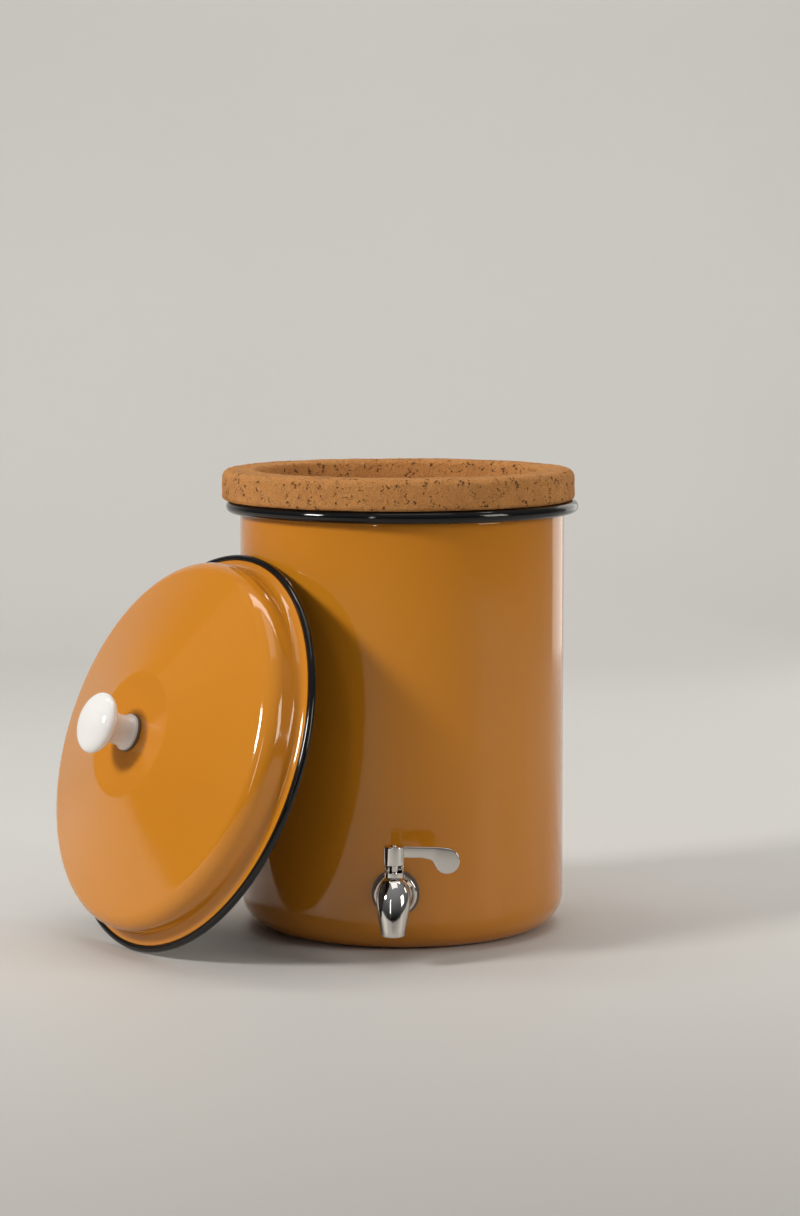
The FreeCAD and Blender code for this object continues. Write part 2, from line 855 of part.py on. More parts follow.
# Lever: a hub on the stem, a flat arm and a round paddle.
hub = turned(
    "lever_hub",
    [
        (ZERO, s.hub_foot),
        (s.hub_radius - s.hub_round, s.hub_foot),
        (s.hub_radius, s.hub_foot + s.hub_round),
        (s.hub_radius, s.hub_top - s.hub_round),
        (s.hub_radius - s.hub_round, s.hub_top),
        (ZERO, s.hub_top),
    ],
    {1: (s.hub_round, 1), 3: (s.hub_round, 1)},
    y=-valve_line,
)
arm_body = doc.addObject("PartDesign::Body", "lever_arm")
notch_angle = s.paddle_notch
arm_sketch = outline(
    arm_body,
    "lever_arm_outline",
    "XZ_Plane",
    [
        (ZERO, s.arm_foot),
        (s.arm_straight, s.arm_foot),
        (
            s.paddle_reach - s.paddle_radius * cosine(notch_angle),
            s.paddle_height - s.paddle_radius * sine(notch_angle),
        ),
        (s.paddle_reach + s.paddle_radius, s.paddle_height),
        (s.paddle_reach, s.paddle_height + s.paddle_radius),
        (s.arm_shoulder, s.hub_top - s.hub_round),
        (ZERO, s.hub_top - s.hub_round),
    ],
    {2: (s.paddle_radius, 1), 3: (s.paddle_radius, 1)},
)
arm_pad = arm_body.newObject("PartDesign::Pad", "lever_arm_plate")
arm_pad.Profile = arm_sketch
arm_pad.Midplane = True
bind(arm_pad, Length=s.arm_thickness)
place(arm_body, ZERO, -valve_line, ZERO)
lever_blank = fuse("lever_blank", hub, arm_body)
stem_socket = rod(
    "stem_socket",
    s.stem_radius + s.small_gap,
    s.stem_top - s.hub_foot + 1.0,
    ZERO,
    -valve_line,
    s.hub_foot - 1.0,
)
screw_seat = turned(
    "lever_screw_seat",
    [
        (ZERO, s.stem_top - 1.0),
        (s.lever_screw_radius + s.small_gap, s.stem_top - 1.0),
        (s.lever_screw_radius + s.small_gap, s.hub_top - s.lever_screw_head_depth),
        (s.lever_screw_head_radius + s.small_gap, s.hub_top - s.lever_screw_head_depth),
        (s.lever_screw_head_radius + s.small_gap, s.hub_top + 1.0),
        (ZERO, s.hub_top + 1.0),
    ],
    y=-valve_line,
)
tap_lever = cut("tap_lever", lever_blank, stem_socket, screw_seat)
screw_crown = s.hub_top + 0.5
lever_screw = turned(
    "lever_screw",
    [
        (ZERO, screw_foot),
        (s.lever_screw_radius, screw_foot),
        (s.lever_screw_radius, s.hub_top - s.lever_screw_head_depth),
        (s.lever_screw_head_radius, s.hub_top - s.lever_screw_head_depth),
        (s.lever_screw_head_radius, screw_crown - 0.9),
        (s.lever_screw_head_radius - 0.9, screw_crown),
        (ZERO, screw_crown),
    ],
    {4: (Size(0.9, "0.9"), 1)},
    y=-valve_line,
)

doc.recompute()

NODES = {
    "pot_shell": pot_shell,
    "pot_rim_bead": pot_rim_bead,
    "filter_bowl": filter_bowl,
    "lid_shell": lid_shell,
    "lid_rim_bead": lid_rim_bead,
    "lid_knob": lid_knob,
    "knob_gasket": knob_gasket,
    "knob_insert": knob_insert,
    "knob_screw": knob_screw,
    "knob_washer": knob_washer,
    "tap_gasket_outer": tap_gasket_outer,
    "tap_flange": tap_flange,
    "tap_body": tap_body,
    "tap_nozzle": tap_nozzle,
    "tap_gland": tap_gland,
    "seat_rear": seat_rear,
    "seat_front": seat_front,
    "tap_gasket_inner": tap_gasket_inner,
    "tap_washer": tap_washer,
    "tap_lock_nut": tap_lock_nut,
    "valve_plug": valve_plug,
    "stem_o_rings": stem_o_rings,
    "stop_pin": stop_pin,
    "tap_lever": tap_lever,
    "lever_screw": lever_screw,
}

for thing in doc.Objects:
    if "Invalid" in thing.State or "Error" in thing.State:
        raise RuntimeError("not built: " + thing.Label)

os.makedirs("parts", exist_ok=True)
for name, thing in NODES.items():
    thing.Label = name
    shape = thing.Shape
    if shape.isNull() or not shape.isValid():
        raise RuntimeError("bad shape: " + name)
    if len(shape.Solids) != (2 if name == "stem_o_rings" else 1):
        raise RuntimeError("wrong number of solids: " + name)
    shape.exportStep("parts/" + name + ".step")
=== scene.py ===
import json
import math

import bmesh
import bpy
import numpy as np
from mathutils import Matrix, Vector


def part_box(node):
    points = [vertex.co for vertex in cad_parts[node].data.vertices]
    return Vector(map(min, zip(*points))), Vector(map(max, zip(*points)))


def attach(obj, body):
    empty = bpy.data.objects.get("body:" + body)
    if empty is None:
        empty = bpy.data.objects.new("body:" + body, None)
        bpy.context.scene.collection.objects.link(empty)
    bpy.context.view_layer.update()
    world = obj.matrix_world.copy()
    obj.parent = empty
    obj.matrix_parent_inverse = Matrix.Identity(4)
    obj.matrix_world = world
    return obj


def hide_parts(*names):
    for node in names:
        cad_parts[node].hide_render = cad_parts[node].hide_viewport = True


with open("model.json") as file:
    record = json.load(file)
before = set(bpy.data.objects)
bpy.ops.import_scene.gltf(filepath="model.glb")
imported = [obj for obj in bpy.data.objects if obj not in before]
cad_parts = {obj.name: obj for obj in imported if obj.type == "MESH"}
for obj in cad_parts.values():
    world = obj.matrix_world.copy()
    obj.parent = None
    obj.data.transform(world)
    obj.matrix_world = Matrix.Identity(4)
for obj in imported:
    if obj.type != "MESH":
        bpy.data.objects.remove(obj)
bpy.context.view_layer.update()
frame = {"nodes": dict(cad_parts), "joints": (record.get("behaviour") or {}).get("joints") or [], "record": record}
scene = bpy.context.scene

# Sizes in metres, in the row frame: +Z up, the tap points to -Y. What the solids give is read from
# their boxes and joints, and the rest is named here or in the function of its piece.
MM = 0.001
FULL_TURN = 2 * math.pi
QUARTER_TURN = math.pi / 2
pot_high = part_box("pot_shell")[1]
bead_low, bead_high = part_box("pot_rim_bead")
bowl_low, bowl_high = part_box("filter_bowl")
flange_low, flange_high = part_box("tap_flange")
lid_low, lid_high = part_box("lid_rim_bead")
valve_place = next(joint for joint in frame["joints"] if joint["name"] == "tap_lever_turn")["pos_m"]

POT_RADIUS = pot_high.x
POT_WALL = 1.6 * MM
POT_CORNER = 27 * MM
POT_RIM = pot_high.z
BEAD_TOP = bead_high.z
BEAD_HEIGHT = bead_high.z - bead_low.z
BEAD_OUT = bead_high.x - POT_RADIUS

CLAY_TOP = bowl_high.z
CLAY_RIM_HEIGHT = 24.4 * MM
CLAY_FOOT = CLAY_TOP - CLAY_RIM_HEIGHT
CLAY_BOTTOM = bowl_low.z
CLAY_SHIFT = -3 * MM
CLAY_OUT = bowl_high.x - CLAY_SHIFT
CLAY_IN = 114 * MM

TAP_HEIGHT = (flange_low.z + flange_high.z) / 2
VALVE_LINE = -valve_place[1]

LID_CENTRE = (lid_low + lid_high) / 2
LEAN = math.radians(19.5)
FACING = math.radians(216.3)
PAD_HEIGHT = 57.07 * MM
PAD_RADIUS = 50 * MM
PAD_DIP = 0.6 * MM
LID = (
    Matrix.Translation(LID_CENTRE)
    @ Matrix.Rotation(FACING, 4, "Z")
    @ Matrix.Rotation(QUARTER_TURN - LEAN, 4, "Y")
)

TURNS = 512
ROLL_TURNS = 720
CLAY_TURNS = 900
SMALL_TURNS = 96


# Lines and grids of points
def rounded(points, radii, steps=8):
    """A line of points with each inner corner replaced by an arc of its radius. The arc starts and
    ends at the corner +- r tan(a / 2) along its two sides, where a is how far the line turns."""
    points = np.asarray(points, dtype=float)
    line = [points[0]]
    for i in range(1, len(points) - 1):
        before_corner = points[i - 1] - points[i]
        after_corner = points[i + 1] - points[i]
        into = before_corner / np.linalg.norm(before_corner)
        out = after_corner / np.linalg.norm(after_corner)
        turn = math.pi - math.acos(float(np.clip(into @ out, -1, 1)))
        radius = radii[i - 1]
        reach = radius * math.tan(turn / 2)
        inward = (into + out) / np.linalg.norm(into + out)
        centre = points[i] + inward * radius / math.cos(turn / 2)
        start = points[i] + into * reach - centre
        side = math.copysign(1, start[1] * into[0] - start[0] * into[1])
        angles = side * np.linspace(0, turn, steps + 1)
        cos, sin = np.cos(angles), np.sin(angles)
        arc = np.stack([start[0] * cos - start[1] * sin, start[0] * sin + start[1] * cos], 1)
        line += list(centre + arc)
    line.append(points[-1])
    return np.array(line)


def resample(line, step):
    """The same line with points no further than step apart: linear in between."""
    line = np.asarray(line, dtype=float)
    out = [line[:1]]
    for a, b in zip(line[:-1], line[1:]):
        count = max(1, int(math.ceil(np.linalg.norm(b - a) / step)))
        t = np.linspace(0, 1, count + 1)[1:, None]
        out.append(a + (b - a) * t)
    return np.concatenate(out)


def spin(line, turns=TURNS):
    """P(u, v) = (r(v) cos u, r(v) sin u, h(v)) on a grid, u going once round; shape (rows, turns, 3)."""
    u = np.linspace(0, FULL_TURN, turns, endpoint=False)
    radius, height = line[:, 0][:, None], line[:, 1][:, None]
    return np.stack([radius * np.cos(u), radius * np.sin(u), np.repeat(height, turns, 1)], -1)


def carried(points, matrix):
    """Every point p of a grid as M p."""
    m = np.array(matrix)
    return points @ m[:3, :3].T + m[:3, 3]


def capped(grid):
    """The grid with its first and last row drawn together to their middles, as closed ends."""
    first, last = [np.broadcast_to(row.mean(0), row.shape)[None] for row in (grid[0], grid[-1])]
    return np.concatenate([first, grid, last])


def hills(points, scale, seed):
    """Smooth noise from -1 to 1: random values on a cubic lattice of that spacing, blended with the
    fade 3t^2 - 2t^3 along each axis. The lattice repeats after its number of cells."""
    cells = 32
    lattice = np.random.default_rng(seed).uniform(-1, 1, (cells, cells, cells))
    place = points / scale
    cell = np.floor(place).astype(int)
    t = place - cell
    t = t * t * (3 - 2 * t)
    total = np.zeros(points.shape[:-1])
    for corner in np.ndindex(2, 2, 2):
        weight = np.ones(points.shape[:-1])
        for axis in range(3):
            weight = weight * (t[..., axis] if corner[axis] else 1 - t[..., axis])
        x, y, z = [(cell[..., axis] + corner[axis]) % cells for axis in range(3)]
        total += weight * lattice[x, y, z]
    return total


def from_axis(points):
    """The level unit vector from the Z axis to each point, and zero on the axis."""
    smallest = 1e-6
    away = points * [1, 1, 0]
    return away / np.maximum(np.linalg.norm(away, axis=-1, keepdims=True), smallest)


def drawn(points, amount, seed):
    """Points moved in or out from the axis by smooth hills, as drawn sheet is never true."""
    hill_width = 60 * MM
    shift = hills(points, hill_width, seed) * amount
    return points + from_axis(points) * shift[..., None]


# Meshes
def add_object(name, mesh, material):
    thing = bpy.data.objects.new(name, mesh)
    scene.collection.objects.link(thing)
    mesh.materials.append(material)
    return thing


def clean_mesh(mesh):
    """Joins points that lie on each other, such as a pole's, and turns the faces outward."""
    same_place = 1e-7
    no_length = 1e-8
    work = bmesh.new()
    work.from_mesh(mesh)
    bmesh.ops.remove_doubles(work, verts=work.verts, dist=same_place)
    bmesh.ops.dissolve_degenerate(work, edges=work.edges, dist=no_length)
    bmesh.ops.recalc_face_normals(work, faces=work.faces)
    for face in work.faces:
        face.smooth = True
    work.to_mesh(mesh)
    work.free()


def grid_mesh(name, points, material, closed_rows=False, lining=None, lined_from=0):
    """A mesh from points of shape (rows, turns, 3). The second direction always closes on itself. The
    first closes too if closed_rows is set; otherwise a first or last row on the axis becomes a pole.
    Faces from row lined_from on take the lining material, if there is one."""
    rows, turns = points.shape[:2]
    index = np.arange(rows * turns).reshape(rows, turns)
    lower = index if closed_rows else index[:-1]
    upper = np.roll(index, -1, 0) if closed_rows else index[1:]
    quads = np.stack([lower, np.roll(lower, -1, 1), np.roll(upper, -1, 1), upper], -1).reshape(-1, 4)
    mesh = bpy.data.meshes.new(name)
    mesh.vertices.add(rows * turns)
    mesh.vertices.foreach_set("co", points.reshape(-1))
    mesh.loops.add(quads.size)
    mesh.loops.foreach_set("vertex_index", quads.reshape(-1).astype(np.int32))
    mesh.polygons.add(len(quads))
    mesh.polygons.foreach_set("loop_start", np.arange(0, quads.size, 4, dtype=np.int32))
    if lining:
        row = np.arange(len(quads)) // turns
        mesh.polygons.foreach_set("material_index", (row >= lined_from).astype(np.int32))
    mesh.update(calc_edges=True)
    clean_mesh(mesh)
    thing = add_object(name, mesh, material)
    if lining:
        mesh.materials.append(lining)
    return thing


def plate(name, outline, thickness, edge, middle, material, steps=6):
    """A flat plate in the XZ plane with rounded edges. Across the edge the outline is drawn in by
    edge (1 - cos a) while the face comes out to thickness / 2 - edge (1 - sin a), a from 0 to pi/2."""
    line = np.asarray(outline)
    along = np.roll(line, -1, 0) - np.roll(line, 1, 0)
    along = along / np.linalg.norm(along, axis=1, keepdims=True)
    inward = np.stack([-along[:, 1], along[:, 0]], 1)
    angles = np.linspace(0, QUARTER_TURN, steps)
    half = [(edge * (1 - math.cos(a)), thickness / 2 - edge * (1 - math.sin(a))) for a in angles]
    profile = [(draw, -level) for draw, level in half[::-1]] + half
    loops = []
    for draw, level in profile:
        flat = line + inward * draw
        loops.append(np.stack([flat[:, 0], np.full(len(flat), middle + level), flat[:, 1]], 1))
    points = np.concatenate(loops)
    count = len(line)
    faces = []
    for row in range(len(loops) - 1):
        for i in range(count):
            j = (i + 1) % count
            faces.append((row * count + i, row * count + j, (row + 1) * count + j, (row + 1) * count + i))
    faces.append(tuple(range(count))[::-1])
    faces.append(tuple(range((len(loops) - 1) * count, len(loops) * count)))
    mesh = bpy.data.meshes.new(name)
    mesh.from_pydata(points.tolist(), [], faces)
    clean_mesh(mesh)
    return add_object(name, mesh, material)


def joined(name, parts, material):
    """Several closed objects as one, which takes their place."""
    work = bmesh.new()
    for part in parts:
        work.from_mesh(part.data)
    mesh = bpy.data.meshes.new(name)
    work.to_mesh(mesh)
    work.free()
    for part in parts:
        bpy.data.objects.remove(part)
    return add_object(name, mesh, material)


def finished(piece, body, slot, *nodes):
    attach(piece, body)
    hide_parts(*nodes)


# Node trees
class Nodes:
    """Short calls for building a node tree."""

    def __init__(self, tree):
        self.tree = tree

    def add(self, kind, inputs=None, **settings):
        node = self.tree.nodes.new(kind)
        for name, value in settings.items():
            setattr(node, name, value)
        for name, value in (inputs or {}).items():
            self.feed(node.inputs[name], value)
        return node

    def feed(self, socket, value):
        if isinstance(value, bpy.types.NodeSocket):
            self.tree.links.new(value, socket)
        else:
            socket.default_value = value

    def mix(self, factor, a, b):
        """The colour a where factor is 0 and b where it is 1."""
        factor_socket, a_socket, b_socket, colour_out = 0, 6, 7, 2
        node = self.add("ShaderNodeMix", data_type="RGBA")
        self.feed(node.inputs[factor_socket], factor)
        self.feed(node.inputs[a_socket], a)
        self.feed(node.inputs[b_socket], b)
        return node.outputs[colour_out]

    def math(self, operation, a, b):
        return self.add("ShaderNodeMath", {0: a, 1: b}, operation=operation).outputs[0]

    def times(self, a, b):
        return self.math("MULTIPLY", a, b)

    def spread(self, value, low, high, to_low=0.0, to_high=1.0):
        """The value with low to high brought to to_low to to_high, and kept inside."""
        inputs = {"Value": value, "From Min": low, "From Max": high, "To Min": to_low, "To Max": to_high}
        return self.add("ShaderNodeMapRange", inputs).outputs[0]

    def place(self):
        """The point in the object's own space."""
        return self.add("ShaderNodeTexCoord").outputs["Object"]

    def noise(self, vector, scale, detail=4.0, rough=0.5, output="Fac"):
        inputs = {"Vector": vector, "Scale": scale, "Detail": detail, "Roughness": rough}
        return self.add("ShaderNodeTexNoise", inputs).outputs[output]

    def bump(self, height, distance, below=None):
        """A normal that follows the height, on top of the normal below."""
        inputs = {"Height": height, "Distance": distance, "Strength": 1.0}
        if below is not None:
            inputs["Normal"] = below
        return self.add("ShaderNodeBump", inputs).outputs[0]


def node_group(name, inputs, outputs):
    """An empty node group with named inputs and outputs, and its inner input and output nodes."""
    tree = bpy.data.node_groups.new(name, "ShaderNodeTree")
    for label, value in inputs:
        socket = tree.interface.new_socket(label, in_out="INPUT", socket_type="NodeSocketFloat")
        socket.default_value = value
    for label, kind in outputs:
        tree.interface.new_socket(label, in_out="OUTPUT", socket_type=kind)
    nodes = Nodes(tree)
    return tree, nodes, nodes.add("NodeGroupInput"), nodes.add("NodeGroupOutput")


def make_skin():
    """A fine uneven skin: a ripple over centimetres and a pebble of fractions of a millimetre."""
    tree, n, given, out = node_group(
        "Uneven skin",
        [("Ripple", 0.4 * MM), ("Pebble", 0.02 * MM), ("Pebble scale", 700.0)],
        [("Normal", "NodeSocketVector")],
    )
    place = n.place()
    ripple = n.noise(place, scale=14.0, detail=1.0)
    pebble = n.noise(place, given.outputs["Pebble scale"], detail=1.0)
    rippled = n.bump(ripple, given.outputs["Ripple"])
    n.feed(out.inputs["Normal"], n.bump(pebble, given.outputs["Pebble"], below=rippled))
    return tree


def make_smudge():
    """Faint handling marks: a mask from 0 to 1 that is 1 where the surface is duller, and a broad tone."""
    tree, n, given, out = node_group(
        "Handling marks",
        [("Scale", 18.0), ("Amount", 1.0)],
        [("Mask", "NodeSocketFloat"), ("Tone", "NodeSocketFloat")],
    )
    place = n.place()
    broad = n.noise(place, given.outputs["Scale"], detail=6.0, rough=0.62)
    mask = n.spread(broad, low=0.48, high=0.78)
    n.feed(out.inputs["Mask"], n.times(mask, given.outputs["Amount"]))
    n.feed(out.inputs["Tone"], n.noise(place, scale=5.0, detail=2.0))
    return tree


def make_dust():
    """Thin dust: a mask from 0 to 1 that gathers on faces that look up."""
    tree, n, given, out = node_group("Settled dust", [("Amount", 0.2)], [("Mask", "NodeSocketFloat")])
    facing = n.add("ShaderNodeSeparateXYZ", {"Vector": n.add("ShaderNodeNewGeometry").outputs["Normal"]})
    upward = n.spread(facing.outputs["Z"], low=0.35, high=1.0)
    grain = n.spread(n.noise(n.place(), scale=900.0, detail=3.0, rough=0.7), low=0.5, high=0.75)
    n.feed(out.inputs["Mask"], n.times(n.times(upward, grain), given.outputs["Amount"]))
    return tree


def make_pores():
    """Pores of fired clay: height for a bump, a mask of the deep holes, and a mask of dark specks."""
    tree, n, given, out = node_group(
        "Clay pores",
        [("Pore scale", 430.0)],
        [("Height", "NodeSocketFloat"), ("Holes", "NodeSocketFloat"), ("Specks", "NodeSocketFloat")],
    )
    warp_length = 2.2 * MM
    speck_scale = 620.0
    place = n.place()
    warp = n.noise(place, scale=420.0, detail=3.0, output="Color")
    bent = n.add("ShaderNodeVectorMath", {0: warp, "Scale": warp_length}, operation="SCALE").outputs[0]
    moved = n.add("ShaderNodeVectorMath", {0: place, 1: bent}, operation="ADD").outputs[0]

    cells = n.add("ShaderNodeTexVoronoi", {"Vector": moved, "Scale": given.outputs["Pore scale"]})
    picked = n.spread(n.noise(place, scale=150.0, detail=3.0, rough=0.7), low=0.56, high=0.6)
    holes = n.times(n.spread(cells.outputs["Distance"], low=0.46, high=0.3), picked)
    n.feed(out.inputs["Holes"], holes)

    coarse = n.times(n.noise(place, scale=160.0, detail=8.0, rough=0.68), 0.7)
    fine = n.times(n.noise(place, scale=1400.0, detail=4.0, rough=0.6), 0.16)
    hole_depth = n.times(holes, 0.9)
    n.feed(out.inputs["Height"], n.math("SUBTRACT", n.math("ADD", coarse, fine), hole_depth))

    dots = n.add("ShaderNodeTexVoronoi", {"Vector": moved, "Scale": speck_scale})
    chosen = n.spread(n.noise(place, scale=240.0, detail=1.0), low=0.55, high=0.62)
    n.feed(out.inputs["Specks"], n.times(n.spread(dots.outputs["Distance"], low=0.3, high=0.16), chosen))
    return tree


SKIN, SMUDGE, DUST, PORES = make_skin(), make_smudge(), make_dust(), make_pores()


# Materials
def new_material(name):
    material = bpy.data.materials.new(name)
    material.use_nodes = True
    tree = material.node_tree
    tree.nodes.clear()
    n = Nodes(tree)
    shader = n.add("ShaderNodeBsdfPrincipled")
    n.add("ShaderNodeOutputMaterial", {"Surface": shader.outputs[0]})
    return material, n, shader


def grouped(n, tree, **inputs):
    """A group node's outputs."""
    node = n.add("ShaderNodeGroup", node_tree=tree)
    for name, value in inputs.items():
        n.feed(node.inputs[name], value)
    return node.outputs


def glossy(
    name,
    colour,
    deep,
    ripple=0.4 * MM,
    pebble=0.02 * MM,
    rough=0.07,
    dust=0.12,
    metal=0.0,
    coat=0.0,
    shine=0.5,
):
    """A smooth finish: colour that drifts towards deep, faint marks in the gloss, thin dust."""
    dust_colour = (0.62, 0.58, 0.52, 1)
    mark_roughness = 0.06
    dust_roughness = 0.5
    coat_roughness = 0.02
    material, n, shader = new_material(name)
    marks = grouped(n, SMUDGE)
    tone = n.mix(n.spread(marks["Tone"], low=0.3, high=0.7), colour, deep)
    dusty = grouped(n, DUST, Amount=dust)["Mask"]
    gloss = n.math("ADD", rough, n.times(marks["Mask"], mark_roughness))
    n.feed(shader.inputs["Base Color"], n.mix(dusty, tone, dust_colour))
    n.feed(shader.inputs["Roughness"], n.math("ADD", gloss, n.times(dusty, dust_roughness)))
    n.feed(shader.inputs["Normal"], grouped(n, SKIN, Ripple=ripple, Pebble=pebble)["Normal"])
    n.feed(shader.inputs["Metallic"], metal)
    n.feed(shader.inputs["Specular IOR Level"], shine)
    n.feed(shader.inputs["Coat Weight"], coat)
    n.feed(shader.inputs["Coat Roughness"], coat_roughness)
    return material


def fired_clay():
    """Cloudy orange clay with pale grain, dark sand and specks, its holes darkened with painted shade, and a bump
    of its pores.
    """
    dark_cloud = (0.50, 0.20, 0.050, 1)
    light_cloud = (0.66, 0.29, 0.080, 1)
    pale_grain = (0.70, 0.40, 0.17, 1)
    dark_sand = (0.24, 0.095, 0.03, 1)
    pore_painted_shade = (0.09, 0.035, 0.015, 1)
    speck_colour = (0.05, 0.025, 0.015, 1)
    pore_depth = 4.2 * MM
    material, n, shader = new_material("fired clay")
    pores = grouped(n, PORES)
    place = n.place()
    cloud = n.spread(n.noise(place, scale=22.0, detail=5.0, rough=0.6), low=0.3, high=0.7)
    grain = n.spread(n.noise(place, scale=700.0, detail=3.0), low=0.35, high=0.7)
    sand = n.spread(n.noise(place, scale=1100.0, detail=2.0, rough=0.6), low=0.52, high=0.68)
    body = n.mix(cloud, dark_cloud, light_cloud)
    for mask, strength, colour in (
        (grain, 0.35, pale_grain),
        (sand, 0.6, dark_sand),
        # The holes take painted shade: a dark colour for the shade inside each pore.
        (pores["Holes"], 0.85, pore_painted_shade),
        (pores["Specks"], 0.8, speck_colour),
    ):
        body = n.mix(n.times(mask, strength), body, colour)
    n.feed(shader.inputs["Base Color"], body)
    n.feed(shader.inputs["Roughness"], 0.93)
    n.feed(shader.inputs["Specular IOR Level"], 0.25)
    n.feed(shader.inputs["Normal"], n.bump(pores["Height"], pore_depth))
    return material


def orange_enamel():
    return glossy("orange enamel", (0.62, 0.232, 0.014, 1), (0.58, 0.210, 0.012, 1), coat=0.15, dust=0.05)


def black_enamel():
    return glossy("black enamel", (0.003, 0.003, 0.003, 1), (0.006, 0.006, 0.006, 1), dust=0.02, shine=0.4)


def white_porcelain():
    white, deep = (0.86, 0.85, 0.83, 1), (0.80, 0.79, 0.77, 1)
    return glossy("white porcelain", white, deep, ripple=0.1 * MM, dust=0.02)


def grey_silicone():
    grey, deep = (0.10, 0.095, 0.09, 1), (0.14, 0.13, 0.12, 1)
    return glossy("grey silicone", grey, deep, pebble=0.06 * MM, rough=0.5)


def polished_stainless():
    steel, deep = (0.74, 0.71, 0.67, 1), (0.64, 0.61, 0.58, 1)
    skin = {"ripple": 0.12 * MM, "pebble": 0.01 * MM}
    return glossy("polished stainless", steel, deep, rough=0.06, dust=0.03, metal=1.0, **skin)


def brass():
    return glossy("brass", (0.62, 0.44, 0.17, 1), (0.5, 0.34, 0.12, 1), rough=0.3, metal=1.0)


def white_plastic():
    return glossy("white plastic", (0.82, 0.82, 0.8, 1), (0.75, 0.75, 0.73, 1), rough=0.4)


def cream_enamel():
    return glossy("cream enamel", (0.80, 0.77, 0.70, 1), (0.74, 0.71, 0.63, 1))


# Painted shade: the lid's inner face is coloured near black so that it stands for shade, darkening what the pot
# reflects beside the lid.
def lid_lining_painted_shade():
    return glossy("lid lining painted dark as shade", (0.035, 0.017, 0.008, 1), (0.05, 0.024, 0.010, 1), dust=0.04)


MATERIALS = {
    "orange_enamel": orange_enamel(),
    "black_enamel": black_enamel(),
    "fired_clay": fired_clay(),
    "white_porcelain": white_porcelain(),
    "grey_silicone": grey_silicone(),
    "stainless": polished_stainless(),
    "brass": brass(),
    "white_plastic": white_plastic(),
}
POT_LINING = cream_enamel()
LID_PAINTED_SHADE_LINING = lid_lining_painted_shade()

for entry in frame["record"]["subparts"]:
    node = frame["nodes"][entry["node"]]
    node.data.materials.clear()
    node.data.materials.append(MATERIALS[entry["material_slot"]])


# Pot
def pot_wall():
    """The pot's sheet: orange outside, cream inside, and open at the top."""
    corner_steps = 20
    inner_radius = POT_RADIUS - POT_WALL
    edge = (POT_RADIUS - POT_WALL / 2, POT_RIM)
    outside = rounded([(0, 0), (POT_RADIUS, 0), (POT_RADIUS, POT_RIM)], [POT_CORNER], steps=corner_steps)
    inside = rounded(
        [(inner_radius, POT_RIM), (inner_radius, POT_WALL), (0, POT_WALL)],
        [POT_CORNER - POT_WALL],
        steps=corner_steps,
    )
    outer = resample([*outside, edge], step=6 * MM)
    inner = resample([edge, *inside], step=8 * MM)
    points = drawn(spin(np.concatenate([outer, inner[1:]])), amount=0.12 * MM, seed=3)
    material = MATERIALS["orange_enamel"]
    wall = grid_mesh("pot_wall", points, material, lining=POT_LINING, lined_from=len(outer))
    finished(wall, "pot", "orange_enamel", "pot_shell")


def pot_roll():
    """The pot's rim, curled outward to a roll that is a little wider than it is high."""
    inner_radius = POT_RADIUS - POT_WALL
    outer_radius = POT_RADIUS + BEAD_OUT
    bead_foot = BEAD_TOP - BEAD_HEIGHT
    inner_curl = 3.6 * MM
    foot_gap, wall_gap, flat = 0.6 * MM, 0.1 * MM, 0.2 * MM
    outer_curl = (BEAD_HEIGHT - flat) / 2
    tuck = 0.4 * MM
    line = rounded(
        [
            (inner_radius, POT_RIM),
            (inner_radius, BEAD_TOP),
            (outer_radius, BEAD_TOP),
            (outer_radius, bead_foot),
            (POT_RADIUS + foot_gap, bead_foot),
            (POT_RADIUS + wall_gap, POT_RIM),
        ],
        [inner_curl, outer_curl, outer_curl, tuck],
        steps=12,
    )
    points = drawn(spin(line, ROLL_TURNS), amount=0.15 * MM, seed=5)
    roll = grid_mesh("pot_roll", points, MATERIALS["black_enamel"], closed_rows=True)
    finished(roll, "pot", "black_enamel", "pot_rim_bead")


# Clay bowl
def clay_outline():
    """The bowl's section from the middle of its foot, over the rim, to the middle of its floor. Only the
    rim, which shows, has its rows close together."""
    foot_radius, hip_radius, floor_radius = 105 * MM, 124 * MM, 87 * MM
    floor = CLAY_BOTTOM + 18 * MM
    rim_from = CLAY_FOOT - 1 * MM
    rim_step, hidden_step = 1.2 * MM, 12 * MM
    line = rounded(
        [
            (0, CLAY_BOTTOM),
            (foot_radius, CLAY_BOTTOM),
            (hip_radius, CLAY_FOOT),
            (CLAY_OUT, CLAY_FOOT),
            (CLAY_OUT, CLAY_TOP),
            (CLAY_IN, CLAY_TOP),
            (floor_radius, floor),
            (0, floor),
        ],
        [24 * MM, 2 * MM, 3.5 * MM, 5.5 * MM, 4.5 * MM, 20 * MM],
        steps=10,
    )
    fine = [line[:1]]
    for a, b in zip(line[:-1], line[1:]):
        on_rim = min(a[1], b[1]) > rim_from
        fine.append(resample([a, b], rim_step if on_rim else hidden_step)[1:])
    return np.concatenate(fine)


